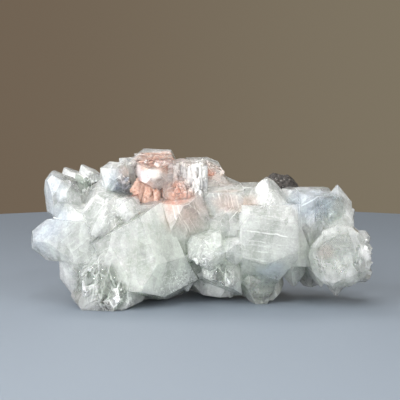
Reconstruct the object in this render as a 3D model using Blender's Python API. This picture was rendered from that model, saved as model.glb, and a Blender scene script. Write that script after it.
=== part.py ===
"""A cluster of apophyllite crystals with peach stilbite and a scrap of basalt, about 110 mm long.

The apophyllite is one solid: every crystal is a convex body cut from a block by its flat faces, and a
Boolean union fuses them. Stilbite blades and the basalt scrap are minerals of their own, so each is a
separate object that sits in a pocket of the apophyllite.
Millimetres in the tables, metres in the scene, +Z up, -Y to the front, the origin under the middle.
"""

import math
import random
from dataclasses import dataclass

import bmesh
import bpy
from mathutils import Matrix, Vector

MM = 0.001

# Apophyllite is tetragonal. The normal of a pyramid face stands this far from the c-axis, and the four
# pyramid faces lie over the corners of the prism, not over its sides.
PYRAMID_ANGLE = math.radians(60.4)
PYRAMID_TURNS = (45.0, 135.0, 225.0, 315.0)

POCKET_GAP = 0.3  # between two minerals, all round
LEDGE_OUT = (0.25, 0.9)  # how far a parallel ledge stands out of the face it grows on
LEDGE_SIZE = (0.35, 0.7)  # its width as a share of its parent's
SLIVER = 0.01  # edges shorter than this are closed up
FOOT_LIFT = 0.8  # how far above the floor the crystals that aren't feet stay


@dataclass
class Crystal:
    at: tuple  # the middle of the prism
    axis: tuple  # along the c-axis, towards the point
    half: tuple  # half widths of the prism
    reach: tuple  # from the middle to the apex, and back to the root
    roll: float = 0.0  # degrees about the axis
    cap: float = 0.0  # what the flat end face takes off the apex
    ledges: int = 0  # smaller crystals in parallel growth on its faces
    chips: tuple = ()  # (point, normal) of faces broken or grown across the crystal
    pointed: bool = True
    foot: bool = False
    worn_sides: int = 0  # a rounded outline of so many broken sides, in place of the prism


# The intergrown heart of the cluster, where no crystal shows a face of its own.
CORE = {
    "left_heart": Crystal((-22, 1, 22), (1, 0, 0.1), (10, 11), (20, 16), 8, 0, 0, (), False),
    "right_heart": Crystal((12, 0, 22), (1, 0, -0.05), (9, 10), (26, 24), -6, 0, 0, (), False),
}

LEFT_END = {
    "upper_left": Crystal((-45.3, -4, 33), (-0.1, -0.2, 0.97), (4.6, 5.0), (15, 10), 20, 2.0, 2, (
        ((-48.5, -4, 41.9), (0.36, -0.1, 0.93)), ((-50.2, -4, 40.6), (-0.75, -0.2, 0.63)),
        ((-49.5, -6, 29), (-0.6, -0.2, -0.75)))),
    "back_left_a": Crystal((-41.6, 3, 36), (-0.35, 0.1, 0.93), (3.3, 4.0), (9.5, 10), 30, 0.3, 1,
                           (((-44.2, 3, 42.0), (0.34, -0.1, 0.93)),)),
    "back_left_b": Crystal((-36.0, 5, 36), (-0.35, 0.1, 0.93), (3.2, 4.0), (10, 10), 30, 0.3, 1,
                           (((-38.3, 5, 42.4), (0.42, -0.1, 0.91)),)),
    "left_point": Crystal((-44, -8, 20.5), (-0.97, -0.2, 0.03), (6.5, 6.7), (14.7, 12), 0, 3.7, 2),
    "left_point_low": Crystal((-44, -9, 17.5), (-0.9, -0.25, -0.2), (3.3, 4.6), (5.8, 10), 6, 2.0),
    "left_filler": Crystal((-41, -4, 25), (-0.3, -0.9, 0.2), (6.5, 6.0), (15, 10), 10, 8, 1),
    "lower_left": Crystal((-40.3, -6, 13), (0.0, -0.3, -0.95), (6.0, 6.0), (13, 12), 0, 1.0, 1),
    "left_foot": Crystal((-31, -12, 10), (-0.3, -0.6, -0.74), (11, 9), (18, 10), 4, 0, 0, (
        ((-41.2, -15, 2.5), (-0.85, -0.3, 0.42)), ((-41.2, -15, 2.0), (-0.8, -0.2, -0.55)),
        ((-23.2, -18, 0.3), (0.5, -0.2, -0.84)), ((-37.5, -20, 8), (-0.62, -0.75, 0.2)),
        ((-31, -24, 3), (0.12, -0.93, 0.36)), ((-25.5, -22, 3), (0.5, -0.85, -0.15)),
        ((-33, -23.4, 2), (-0.2, -0.85, -0.5))), False, True),
    "left_foot_point": Crystal((-33.5, -15, 11), (-0.35, -0.75, -0.55), (4.5, 4.0), (11.5, 9), 30, 0.8, 1),
    "left_foot_step": Crystal((-22.5, -11, 8.6), (0.2, -0.45, -0.87), (5.0, 4.5), (6.8, 8), 10, 1.2),
}

MIDDLE = {
    "big_block": Crystal((-20, -8, 18), (0.42, -0.1, -0.9), (13, 13), (40, 22), 0, 8, 1, (
        ((-22.6, -19, 15.7), (-0.1, -0.96, 0.24)),
        ((-13.6, -19.5, 14.6), (0.46, -0.86, 0.42)),
        ((-13.6, -19.5, 14.6), (0.52, -0.80, -0.16)),
        ((-16.4, -19, 4.6), (-0.1, -0.3, -0.95)),
        ((-11.7, -19, 4.6), (0.5, -0.25, -0.83)),
        ((-10.2, -12, 25.8), (0.9, -0.1, 0.42)),
        ((-21.2, -12, 28.7), (-0.47, -0.1, 0.88)),
        ((-37.5, -14, 18), (-0.9, -0.3, -0.3)),
    )),
    "bright_front": Crystal((-32.4, -8, 29.2), (-0.18, -0.86, -0.48), (6.0, 5.4), (13.5, 12), 45, 1.0, 1, (
        ((-38.4, -12, 31), (-0.85, -0.4, 0.3)), ((-32, -12, 33.6), (0.1, -0.35, 0.93)))),
    "bright_right": Crystal((-25.4, -6, 30.2), (0.12, -0.95, -0.12), (5.0, 4.0), (11.5, 12), 8, 3, 2),
    "middle_back": Crystal((-5, -6, 24), (-0.2, -0.3, 0.93), (6.6, 6.5), (20, 13), 10, 9, 2),
    "front_point": Crystal((1.2, -14, 17.6), (-0.15, -0.95, -0.25), (6.3, 5.6), (10.5, 12), 12, 2.5, 3),
    "front_block": Crystal((9.4, -12, 19.0), (0.1, -0.9, -0.3), (3.2, 3.6), (11, 10), 0, 5, 1),
    "arc_crystal": Crystal((6.3, -8, 25), (0.1, -0.9, -0.3), (6, 5.0), (12, 12), 25, 5, 2),
    "shoulder": Crystal((6.8, -3, 29), (-0.03, -0.15, 0.98), (6.3, 6), (21, 12), -4, 13.2, 1,
                        (((6.8, -8, 36.6), (-0.06, -0.35, 0.94)),)),
    "hollow_a": Crystal((8.6, -12, 10.2), (0.05, -0.8, -0.6), (2.6, 3.2), (6.4, 8), 6, 0.8, 1),
    "hollow_b": Crystal((3.0, -10, 12.4), (-0.1, -0.85, -0.5), (2.2, 2.8), (7.0, 8), 20, 0.8, 1),
    "under_middle": Crystal((5.2, -7, 12), (0.1, -0.3, -0.95), (6.0, 6.0), (20, 10), 0, 8, 1,
                            (((5, -12, 6.4), (-0.35, -0.3, -0.88)),)),
    "belly_left": Crystal((-6, -6, 9), (0.1, -0.35, -0.93), (6.5, 5.0), (6.6, 8), 20, 0.8),
    "belly_right": Crystal((8, -4, 7), (0.1, -0.2, -0.97), (7.0, 5.0), (6.6, 6), 5, 0.6),
    "belly": Crystal((4, 2, 12), (0.1, 0.1, -0.98), (12, 9), (24, 12), 15, 10, 2,
                     (((0, -6, 1.8), (-0.1, 0.1, -0.99)),)),
}

TOP = {
    "top_ridge": Crystal((-16.2, 7, 40), (0, 0, 1), (8.2, 5), (30, 14), 0, 22, 2, (
        ((-20.8, 7, 47.2), (-0.62, 0, 0.79)), ((-10.6, 7, 47.0), (0.88, 0, 0.47)),
        ((-15.5, 7, 47.2), (0.05, -0.1, 0.99)))),
    "top_left_a": Crystal((-28.6, 0, 37.2), (-0.12, -0.25, 0.96), (4.2, 4.6), (12, 12), 15, 5.2, 2),
    "top_left_b": Crystal((-25.6, 2, 41.0), (-0.05, 0, 1), (1.7, 1.7), (7, 8), 10, 2.2),
    "top_saddle": Crystal((-22.8, 3.6, 38.6), (0, 0, 1), (2.8, 2.6), (9.0, 8), 12, 1.8),
    "rose_crystal": Crystal((-15.6, -1, 40.5), (0.1, -0.85, -0.3), (6.0, 3.6), (10, 10), 5, 4.5, 1),
    "white_block": Crystal((-4.9, -1, 36.2), (0.04, -0.15, 0.98), (5.6, 5.6), (19, 12), 4, 10.5, 3),
    "peach_crystal": Crystal((-6.5, -5, 32), (0, -0.6, -0.8), (6.0, 6.0), (12, 10), 10, 4, 1),
    "top_slope": Crystal((1, 6, 37), (0, 0, 1), (6.2, 6), (24, 12), 9, 16.0, 1, (
        ((5.4, 7, 42.2), (0.87, 0, 0.49)), ((0.8, 7, 44.6), (0.4, -0.1, 0.91)))),
    "low_slope": Crystal((8, 5, 29), (0, 0, 1), (7.4, 7), (26, 12), -7, 12, 1,
                         (((10.4, 5, 36.6), (0.38, -0.1, 0.92)),)),
}

RIGHT_END = {
    "big_prism": Crystal((20.7, -9, 20), (0.0, -0.05, -1), (9, 9), (18, 12), 0, 2.0, 2, (
        ((23.6, -18, 15.5), (0.25, -0.75, -0.6)), ((15, -18, 15), (-0.2, -0.75, -0.63)),
        ((29.3, -10, 14), (0.77, -0.1, -0.64)), ((28.2, -16, 28.5), (0.62, -0.42, 0.66)),
        ((20, -16.5, 29.2), (0.1, -0.62, 0.78)), ((12.4, -17, 27), (-0.6, -0.6, 0.52))), False),
    "prism_shelf": Crystal((24.0, -10, 24.0), (0.06, -0.96, 0.12), (4.6, 3.4), (9.0, 8), 14, 4.0, 2),
    "small_under": Crystal((15.3, -10, 8.4), (-0.1, -0.85, -0.45), (3.6, 2.8), (6.6, 8), 10, 1, 1),
    "right_foot": Crystal((17.4, -6, 7.5), (0.08, -0.35, -0.93), (6.2, 6), (12, 8), 35, 1, 1,
                          (((22.3, -12, 2.0), (0.7, -0.1, -0.7)),), True, True),
    "gap_crystal": Crystal((15.2, -3, 30), (0.0, -0.1, 1), (3.4, 4), (16, 10), 8, 8.2, 1),
    "white_top": Crystal((20.2, -5, 31.6), (-0.03, -0.15, 0.98), (6.8, 6.0), (10.6, 10), 8, 0.5, 1, (
        ((20.0, -7, 40.1), (0.42, -0.2, 0.88)), ((20.0, -7, 40.1), (-0.40, -0.2, 0.89)))),
    "seat_front": Crystal((28.0, 0.4, 28), (0.02, -0.1, 1), (3.8, 3.0), (12, 12), 8, 3.8),
    "blue_top": Crystal((35.2, -2, 28), (0.05, -0.15, 0.98), (5.6, 5.5), (20, 12), 10, 12.4, 1,
                        (((30, -7, 34.5), (-0.4, -0.75, 0.53)),)),
    "right_peak": Crystal((42.6, -4, 26), (0.0, -0.05, 1), (4.8, 5), (12.2, 14), 5, 0.4, 2),
    "right_inner": Crystal((34.5, -4, 24.5), (0.0, -0.5, -0.85), (4.6, 5), (11, 10), 20, 2, 1),
    "right_gap": Crystal((28.5, -5, 11), (0.05, -0.2, -0.98), (4.2, 4.5), (7.0, 8), 10, 0.8),
    "right_gap_step": Crystal((37.0, -6, 9.8), (0.1, -0.3, -0.95), (4.0, 3.5), (5.6, 8), 30, 0.5),
    "right_under": Crystal((34.5, 5, 14), (0.05, 0.1, -0.99), (5.5, 7), (14, 10), 0, 3.0, 2),
    "right_rear": Crystal((44, 3, 25), (0.5, 0.1, 0.6), (5, 5), (9, 10), 20, 3, 2),
    "disc_corner": Crystal((47.3, -3, 17.5), (0.75, -0.1, 0.6), (3.4, 4.0), (9, 10), 15, 2, 1),
    "disc_back": Crystal((46, -5, 12), (0.75, 0.1, -0.45), (5, 5), (11, 10), 15, 2.5, 1),
    "disc_under": Crystal((42, -8, 9), (0.05, 0.1, -0.99), (3, 3), (7.5, 8), 15, 0.5, 1),
    "disc": Crystal((43.1, -12, 16), (-0.05, -0.98, 0.05), (9.9, 9.9), (6, 9), 0, 0, 0, (
        ((50.2, -17.2, 19.5), (0.62, -0.74, 0.26)), ((46.5, -17.4, 9.0), (0.2, -0.80, -0.56)),
        ((36.2, -17.4, 13), (-0.55, -0.82, -0.12)), ((42, -17.3, 23.4), (-0.1, -0.78, 0.62))), False, False, 13),
}

BACK = {
    "rear_foot": Crystal((0, 12, 9), (0.05, 0.3, -0.95), (8, 7), (16, 10), 10, 1, 2, (), True, True),
    "back_a": Crystal((-38, 7, 24), (-0.6, 0.75, 0.1), (6, 6), (14, 10), 10, 2, 2),
    "back_b": Crystal((-26, 10, 28), (-0.25, 0.85, 0.35), (7, 6.5), (14, 10), 25, 3, 3),
    "back_c": Crystal((-12, 12, 30), (0.1, 0.95, 0.25), (7, 7.5), (13, 10), 5, 1, 3),
    "back_d": Crystal((2, 12, 24), (0.05, 0.95, -0.1), (8, 7), (14, 10), 35, 4, 2),
    "back_e": Crystal((14, 10, 25), (0.3, 0.85, 0.3), (6.5, 7), (14, 10), 15, 1, 2),
    "back_f": Crystal((30, 8, 22), (0.35, 0.9, -0.1), (7, 6), (14, 10), 40, 2, 2),
    "back_g": Crystal((41, 6, 21), (0.65, 0.75, 0.15), (5.5, 6), (12, 10), 20, 1, 2),
    "back_h": Crystal((-33, 6, 14), (-0.4, 0.7, -0.55), (6, 6), (13, 10), 30, 2, 2),
    "back_i": Crystal((-17, 10, 14), (-0.15, 0.75, -0.6), (7, 6), (13, 10), 15, 3, 2),
    "back_j": Crystal((19, 8, 13), (0.25, 0.7, -0.65), (6, 6), (13, 10), 25, 1, 2),
    "basalt_seat": Crystal((26, 7, 28), (0.05, 0.1, 0.99), (7, 6), (18, 12), 12, 12.3, 0),
    "floor_a": Crystal((-17, -6, 8), (0.1, 0.2, -0.97), (6, 6), (9, 8), 20, 1, 1),
    "floor_b": Crystal((-20, 4, 10), (-0.3, 0.2, -0.93), (6, 5), (12, 8), 40, 1, 1),
    "floor_c": Crystal((12, -2, 9), (0.2, 0.1, -0.97), (5, 5), (10, 8), 20, 1, 1),
}

# The blades fan out of a hidden heart: up against the top ridge, and down into the hollow under it.
STILBITE = {
    "heart": Crystal((-14.5, 0.5, 37.0), (1, 0, 0), (3.6, 3.2), (7.0, 7.0), 12, 0, 0, (), False),
    "blade_a": Crystal((-17.5, 1.4, 40), (-0.65, 0, 0.76), (0.8, 2.4), (7.0, 4), 0, 1.2),
    "blade_b": Crystal((-16.0, 1.0, 40), (-0.3, -0.05, 0.95), (2.6, 0.8), (6.0, 4), 10, 1.2),
    "blade_c": Crystal((-14.0, 1.5, 40), (0.05, 0.05, 0.99), (2.4, 0.9), (6.0, 4), -8, 1.2),
    "blade_d": Crystal((-12, 1.0, 40), (0.45, -0.05, 0.89), (2.5, 0.8), (6.4, 4), 6, 1.2),
    "blade_e": Crystal((-20.5, -2.5, 36.5), (-0.75, -0.45, -0.2), (1.0, 3.2), (4.5, 5), 10, 0.8),
    "blade_f": Crystal((-20, -2.6, 34.8), (-0.5, -0.7, -0.4), (0.9, 3.0), (5.5, 5), 25, 0.8),
    "blade_g": Crystal((-18.2, -3, 34.5), (-0.2, -0.8, -0.55), (1.0, 3.0), (5.5, 5), -20, 0.8),
    "blade_h": Crystal((-15.5, -2.5, 34.8), (0.1, -0.8, -0.6), (1.1, 2.8), (5.0, 5), 5, 0.8),
    "blade_i": Crystal((-12, -3, 34.6), (0.15, -0.85, -0.5), (1.0, 2.8), (5.0, 5), -15, 0.8),
    "blade_j": Crystal((-9.5, -3, 34.8), (0.35, -0.8, -0.45), (1.0, 3.0), (5.2, 5), 20, 0.8),
    "blade_k": Crystal((-17, -2.5, 33.6), (-0.3, -0.8, -0.5), (3.2, 1.0), (5.5, 5), 8, 0.8),
}

BASALT = Crystal((26.0, 8, 35.4), (0.1, 0.0, 1), (5.6, 5.2), (4.6, 4.0), 8, 0, 0, (
    ((29.6, 8, 36.9), (0.72, -0.1, 0.69)), ((26, 8, 39.3), (0.2, -0.1, 0.97)),
    ((21.2, 8, 38.2), (-0.7, -0.2, 0.7)), ((23, 3.6, 37.3), (-0.35, -0.8, 0.45)),
    ((28.5, 3.8, 36.3), (0.5, -0.8, 0.3)), ((25, 12.3, 37.8), (-0.1, 0.8, 0.6)),
    ((27.6, 6, 38.6), (0.1, -0.55, 0.83)), ((31.0, 8, 34.5), (0.95, -0.2, 0.2))), False)


def direction(xyz):
    return Vector(xyz).normalized()


def crystal_axes(crystal):
    """The crystal's own three directions: across, across and along the c-axis."""
    along = direction(crystal.axis)
    upright = Vector((0, 0, 1)) if abs(along.z) < 0.9 else Vector((0, -1, 0))
    first = upright.cross(along).normalized()
    second = along.cross(first)
    turn = Matrix.Rotation(math.radians(crystal.roll), 3, along)
    return turn @ first, turn @ second, along


def crystal_planes(crystal, grow=0.0):
    """Each face of a crystal as (point, outward normal), moved out by grow."""
    first, second, along = crystal_axes(crystal)
    middle = Vector(crystal.at)
    apex = middle + along * crystal.reach[0]
    faces = [(middle - along * crystal.reach[1], -along), (apex - along * crystal.cap, along)]
    if crystal.worn_sides:
        dice = random.Random(crystal.worn_sides)
        for n in range(crystal.worn_sides):
            angle = math.tau * (n + dice.uniform(-0.2, 0.2)) / crystal.worn_sides
            outward = first * math.cos(angle) + second * math.sin(angle)
            rim = outward * crystal.half[0] * dice.uniform(0.95, 1.0)
            faces.append((middle + rim, outward))
            faces.append((apex + rim * 0.88, (outward + along * dice.uniform(0.9, 1.6)).normalized()))
    else:
        for side, half in ((first, crystal.half[0]), (second, crystal.half[1])):
            faces += [(middle + side * half, side), (middle - side * half, -side)]
    if crystal.pointed:
        for turn in PYRAMID_TURNS:
            outward = first * math.cos(math.radians(turn)) + second * math.sin(math.radians(turn))
            faces.append((apex, outward * math.sin(PYRAMID_ANGLE) + along * math.cos(PYRAMID_ANGLE)))
    faces += [(Vector(point), direction(normal)) for point, normal in crystal.chips]
    return [(point + normal * grow, normal) for point, normal in faces]


def cut_block(planes, middle, size):
    """A bmesh of the convex solid that the planes leave of a block round the middle, in millimetres."""
    solid = bmesh.new()
    bmesh.ops.create_cube(solid, size=size, matrix=Matrix.Translation(middle))
    for point, normal in planes:
        everything = [*solid.verts, *solid.edges, *solid.faces]
        cut = bmesh.ops.bisect_plane(
            solid, geom=everything, dist=1e-5, plane_co=point, plane_no=normal, clear_outer=True
        )
        rim = [part for part in cut["geom_cut"] if isinstance(part, bmesh.types.BMEdge)]
        if rim:
            bmesh.ops.edgeloop_fill(solid, edges=rim)
    return solid


def add_object(name, mesh):
    made = bpy.data.objects.new(name, mesh)
    bpy.context.scene.collection.objects.link(made)
    return made


def crystal_body(name, crystal, grow=0.0):
    """One crystal as an object of its own, still in millimetres."""
    planes = crystal_planes(crystal, grow)
    floor = 0.0 if crystal.foot else FOOT_LIFT + 0.5 * (abs(crystal.at[0]) % 1.0)
    planes.append((Vector((0, 0, floor)), Vector((0, 0, -1))))
    solid = cut_block(planes, Vector(crystal.at), 120)
    bmesh.ops.recalc_face_normals(solid, faces=solid.faces)
    mesh = bpy.data.meshes.new(name)
    solid.to_mesh(mesh)
    solid.free()
    return add_object(name, mesh)


def ledge(parent, dice):
    """A smaller crystal that grows parallel on one of its parent's faces."""
    first, second, along = crystal_axes(parent)
    half = [width * dice.uniform(*LEDGE_SIZE) for width in parent.half]
    out = dice.uniform(*LEDGE_OUT)
    side = dice.choice((1, -1))
    spare = [parent.half[k] - half[k] for k in (0, 1)]
    if dice.random() < 0.5:
        shift = first * side * (spare[0] + out) + second * dice.uniform(-1, 1) * spare[1]
    else:
        shift = second * side * (spare[1] + out) + first * dice.uniform(-1, 1) * spare[0]
    short = dice.uniform(0.35, 0.9) * (parent.reach[0] - parent.cap)
    rise = dice.uniform(0.15, 0.4)
    chips = tuple((tuple(Vector(point) + direction(normal) * rise), normal) for point, normal in parent.chips)
    return Crystal(tuple(Vector(parent.at) + shift), parent.axis, tuple(half),
                   (short, parent.reach[1] * 0.8), parent.roll, short * dice.uniform(0.05, 0.3),
                   0, chips, parent.pointed)


def boolean(target, operation, bodies):
    """Applies one Boolean of the target with all the bodies and removes them."""
    group = bpy.data.collections.new("bodies")
    bpy.context.scene.collection.children.link(group)
    for body in bodies:
        bpy.context.scene.collection.objects.unlink(body)
        group.objects.link(body)
    cut = target.modifiers.new("fuse", "BOOLEAN")
    cut.operation = operation
    cut.operand_type = "COLLECTION"
    cut.collection = group
    cut.solver = "EXACT"
    graph = bpy.context.evaluated_depsgraph_get()
    mesh = bpy.data.meshes.new_from_object(target.evaluated_get(graph))
    name = target.name
    for old in [target, *bodies]:
        bpy.data.objects.remove(old)
    bpy.data.collections.remove(group)
    return add_object(name, mesh)


def keep_largest(target):
    """Removes the crumbs that a Boolean leaves beside the main body."""
    solid = bmesh.new()
    solid.from_mesh(target.data)
    left = set(solid.verts)
    pieces = []
    while left:
        piece = set()
        front = [left.pop()]
        while front:
            vert = front.pop()
            piece.add(vert)
            for edge in vert.link_edges:
                other = edge.other_vert(vert)
                if other in left:
                    left.remove(other)
                    front.append(other)
        pieces.append(piece)
    pieces.sort(key=len)
    crumbs = [vert for piece in pieces[:-1] for vert in piece]
    bmesh.ops.delete(solid, geom=crumbs, context="VERTS")
    bmesh.ops.triangulate(solid, faces=solid.faces)
    bmesh.ops.remove_doubles(solid, verts=solid.verts, dist=SLIVER)
    bmesh.ops.dissolve_degenerate(solid, edges=solid.edges, dist=SLIVER)
    solid.to_mesh(target.data)
    solid.free()


def material(name, colour, roughness, transmission=0.0):
    made = bpy.data.materials.new(name)
    made.use_nodes = True
    shader = made.node_tree.nodes["Principled BSDF"]
    shader.inputs["Base Color"].default_value = (*colour, 1)
    shader.inputs["Roughness"].default_value = roughness
    shader.inputs["Transmission Weight"].default_value = transmission
    shader.inputs["IOR"].default_value = 1.535
    return made


def build_apophyllite():
    dice = random.Random(7)
    bodies = []
    for zone in (CORE, LEFT_END, MIDDLE, TOP, RIGHT_END, BACK):
        for name, crystal in zone.items():
            bodies.append(crystal_body(name, crystal))
            for n in range(crystal.ledges):
                bodies.append(crystal_body(f"{name}_ledge_{n}", ledge(crystal, dice)))
    fused = boolean(bodies[0], "UNION", bodies[1:])
    guests = [*STILBITE.values(), BASALT]
    pockets = [crystal_body(f"pocket_{n}", guest, POCKET_GAP) for n, guest in enumerate(guests)]
    return boolean(fused, "DIFFERENCE", pockets)


def build_stilbite():
    blades = [crystal_body(name, blade) for name, blade in STILBITE.items()]
    return boolean(blades[0], "UNION", blades[1:])


def main():
    for old in list(bpy.data.objects):
        bpy.data.objects.remove(old)
    cluster = build_apophyllite()
    blades = build_stilbite()
    scrap = crystal_body("basalt", BASALT)
    finishes = (
        (cluster, "apophyllite_crystals", (0.86, 0.89, 0.86), 0.12, 0.6),
        (blades, "stilbite_blades", (0.80, 0.46, 0.34), 0.45, 0.0),
        (scrap, "basalt_scrap", (0.05, 0.045, 0.045), 0.85, 0.0),
    )
    for made, name, colour, roughness, transmission in finishes:
        keep_largest(made)
        made.name = name
        made.data.name = name
        made.data.materials.clear()
        made.data.materials.append(material(name + "_finish", colour, roughness, transmission))
        made.data.shade_flat()
    corners = [vert.co for made in (cluster, blades, scrap) for vert in made.data.vertices]
    low = [min(co[k] for co in corners) for k in range(3)]
    high = [max(co[k] for co in corners) for k in range(3)]
    shift = Vector((-(low[0] + high[0]) / 2, -(low[1] + high[1]) / 2, -low[2]))
    for made in (cluster, blades, scrap):
        made.data.transform(Matrix.Scale(MM, 4) @ Matrix.Translation(shift))


main()
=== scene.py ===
# %% [markdown]
# # An apophyllite cluster
# A natural cluster of apophyllite crystals with a little peach stilbite and a scrap of basalt. The solid
# model is loaded as a frame, in metres, and each mineral then gets finer shape and a finish of its own.
# The crystals could be modelled here from nothing, but then the solid and what is seen could drift apart.

# %% Load the frame
import math
import random

import bmesh
import bpy
from mathutils import Matrix, Vector, noise
from mathutils.bvhtree import BVHTree


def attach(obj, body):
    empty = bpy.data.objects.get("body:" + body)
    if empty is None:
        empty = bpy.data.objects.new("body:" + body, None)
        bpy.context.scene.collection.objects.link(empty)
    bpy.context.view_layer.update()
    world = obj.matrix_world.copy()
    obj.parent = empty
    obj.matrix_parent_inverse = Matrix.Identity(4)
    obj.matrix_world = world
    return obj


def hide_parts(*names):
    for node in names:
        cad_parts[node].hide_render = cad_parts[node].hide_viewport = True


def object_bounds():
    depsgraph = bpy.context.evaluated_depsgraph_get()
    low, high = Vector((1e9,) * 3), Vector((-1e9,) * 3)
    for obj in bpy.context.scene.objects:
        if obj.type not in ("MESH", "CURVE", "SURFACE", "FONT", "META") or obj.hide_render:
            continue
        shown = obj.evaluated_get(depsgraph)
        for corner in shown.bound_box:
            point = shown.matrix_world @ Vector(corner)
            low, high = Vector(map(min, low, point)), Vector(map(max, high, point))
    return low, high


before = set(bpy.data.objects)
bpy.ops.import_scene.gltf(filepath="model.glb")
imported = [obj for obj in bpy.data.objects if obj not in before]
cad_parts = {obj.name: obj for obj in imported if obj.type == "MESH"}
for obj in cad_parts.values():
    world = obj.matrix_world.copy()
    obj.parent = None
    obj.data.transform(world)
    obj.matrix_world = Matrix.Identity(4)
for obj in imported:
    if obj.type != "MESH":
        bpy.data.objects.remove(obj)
cad_low, cad_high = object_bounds()
MM = 0.001
print("box of the solids, mm:", [round(v / MM, 1) for v in (*cad_low, *cad_high)])

# %% [markdown]
# ## The camera
# The cluster is seen from a little above. A short lens close by would make the crystals lean apart, so a
# long lens is used from half a metre away, and parallel crystal edges stay nearly parallel.

# %% Camera
middle = Vector((0.0, 0.0, 22.5 * MM))
distance = 0.55
elevation = math.radians(8)
aim_above, aim_left = 9.7, 0.8  # where the lens points, in millimetres from the middle
forward = Vector((0, math.cos(elevation), -math.sin(elevation)))
upward = Vector((0, math.sin(elevation), math.cos(elevation)))

camera_data = bpy.data.cameras.new("camera")
camera_data.sensor_width = 36
camera_data.lens = 153
camera = bpy.data.objects.new("camera", camera_data)
bpy.context.scene.collection.objects.link(camera)
camera.location = middle - forward * distance
aim = middle + upward * aim_above * MM - Vector((aim_left * MM, 0, 0))
camera.rotation_euler = (aim - camera.location).to_track_quat("-Z", "Y").to_euler()
bpy.context.scene.camera = camera
bpy.context.scene.view_settings.view_transform = "Standard"
print("camera at, m:", [round(v, 3) for v in camera.location])


# %% [markdown]
# ## Small helpers
# Operators act on whatever is selected, so each piece is picked out alone first. A modifier could stay
# live on its piece, but it is applied at once, so that the mesh that is seen is the mesh that later steps
# measure.

# %% Selecting, shaping and joining
def pick(piece):
    """Makes the piece the only selected object and the active one."""
    if bpy.context.object and bpy.context.object.mode != "OBJECT":
        bpy.ops.object.mode_set(mode="OBJECT")
    bpy.ops.object.select_all(action="DESELECT")
    piece.select_set(True)
    bpy.context.view_layer.objects.active = piece


def edit_all(piece):
    """Opens the piece in edit mode with everything selected."""
    pick(piece)
    bpy.ops.object.mode_set(mode="EDIT")
    bpy.ops.mesh.select_all(action="SELECT")


def shape_with(piece, kind, **settings):
    """Adds a modifier to the piece and applies it."""
    pick(piece)
    modifier = piece.modifiers.new(kind.lower(), kind)
    for key, value in settings.items():
        setattr(modifier, key, value)
    bpy.ops.object.modifier_apply(modifier=modifier.name)


def copy_of(source, name):
    """A copy of an object with a mesh of its own."""
    mesh = source.data.copy()
    mesh.name = name
    made = bpy.data.objects.new(name, mesh)
    bpy.context.scene.collection.objects.link(made)
    return made


def join(pieces, name):
    """Joins pieces into one object and puts its place into its mesh."""
    pick(pieces[0])
    for piece in pieces:
        piece.select_set(True)
    bpy.ops.object.transform_apply(location=True, rotation=True, scale=True)
    bpy.ops.object.join()
    pieces[0].name = name
    return pieces[0]


def finish_with(piece, finish):
    """Gives the whole piece one material."""
    piece.data.materials.clear()
    piece.data.materials.append(finish)


print("solids to work from:", sorted(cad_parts))


# %% [markdown]
# Small crystals, veils and blades are scattered by chance. Each kind draws from dice of its own, so that
# a change to one piece never moves another, and these two helpers lean every copy its own way.

# %% Leaning by chance
def any_way(dice):
    """A vector that points anywhere."""
    return Vector((dice.gauss(0, 1), dice.gauss(0, 1), dice.gauss(0, 1)))


def facing(direction, track="Z", up="Y"):
    """The turn that brings a piece's own axis, Z unless told otherwise, to the direction."""
    return direction.to_track_quat(track, up).to_matrix().to_4x4()


# %% [markdown]
# A material is a small tree of nodes. It could be wired node by node in every finish, but these helpers
# say the same in a few words: a sum, a blend of two colours, a smooth step between two values, and cloudy
# noise.

# %% Nodes and sums
def new_material(name):
    """A new material, its node tree and its Principled shader."""
    made = bpy.data.materials.new(name)
    made.use_nodes = True
    return made, made.node_tree, made.node_tree.nodes["Principled BSDF"]


def add_node(tree, kind, links=None, **settings):
    """Adds a node, sets its properties or unlinked sockets, and links the rest."""
    node = tree.nodes.new("ShaderNode" + kind)
    for key, value in settings.items():
        if hasattr(node, key):
            setattr(node, key, value)
        else:
            node.inputs[key.replace("_", " ")].default_value = value
    for key, source in (links or {}).items():
        tree.links.new(source, node.inputs[key])
    return node


def feed(tree, socket, value):
    """Gives a socket another socket's output, a number, or three numbers as a colour or vector."""
    if isinstance(value, bpy.types.NodeSocket):
        tree.links.new(value, socket)
    elif socket.type == "RGBA":
        socket.default_value = (*value, 1)
    else:
        socket.default_value = value


def maths(tree, operation, first, second=0.0):
    """One sum of two sockets or numbers."""
    node = add_node(tree, "Math", operation=operation)
    feed(tree, node.inputs[0], first)
    feed(tree, node.inputs[1], second)
    return node.outputs["Value"]


def vector_maths(tree, operation, first, second):
    """One sum of vectors: the second is a vector, or what to multiply by where the operation is SCALE."""
    node = add_node(tree, "VectorMath", {0: first}, operation=operation)
    feed(tree, node.inputs["Scale"] if operation == "SCALE" else node.inputs[1], second)
    return node.outputs["Value" if operation in ("DISTANCE", "DOT_PRODUCT") else "Vector"]


def total(tree, start, *parts):
    """A number plus several (socket, share) products, held between 0 and 1."""
    value = start
    for socket, share in parts:
        value = maths(tree, "ADD", maths(tree, "MULTIPLY", socket, share), value)
    return add_node(tree, "Clamp", {"Value": value}).outputs["Result"]


def blend(tree, share, first, second):
    """A colour between two colours, each a socket or three numbers."""
    node = add_node(tree, "Mix", data_type="RGBA")
    for key, value in (("Factor", share), ("A", first), ("B", second)):
        feed(tree, [s for s in node.inputs if s.name == key and s.enabled][0], value)
    return [s for s in node.outputs if s.enabled][0]


def ramp(tree, value, low, high, start=0.0, end=1.0):
    """Start below low and end above high, and smooth between them."""
    node = add_node(tree, "MapRange", {"Value": value}, interpolation_type="SMOOTHSTEP")
    for socket, number in zip(("From Min", "From Max", "To Min", "To Max"), (low, high, start, end)):
        node.inputs[socket].default_value = number
    return node.outputs["Result"]


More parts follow.
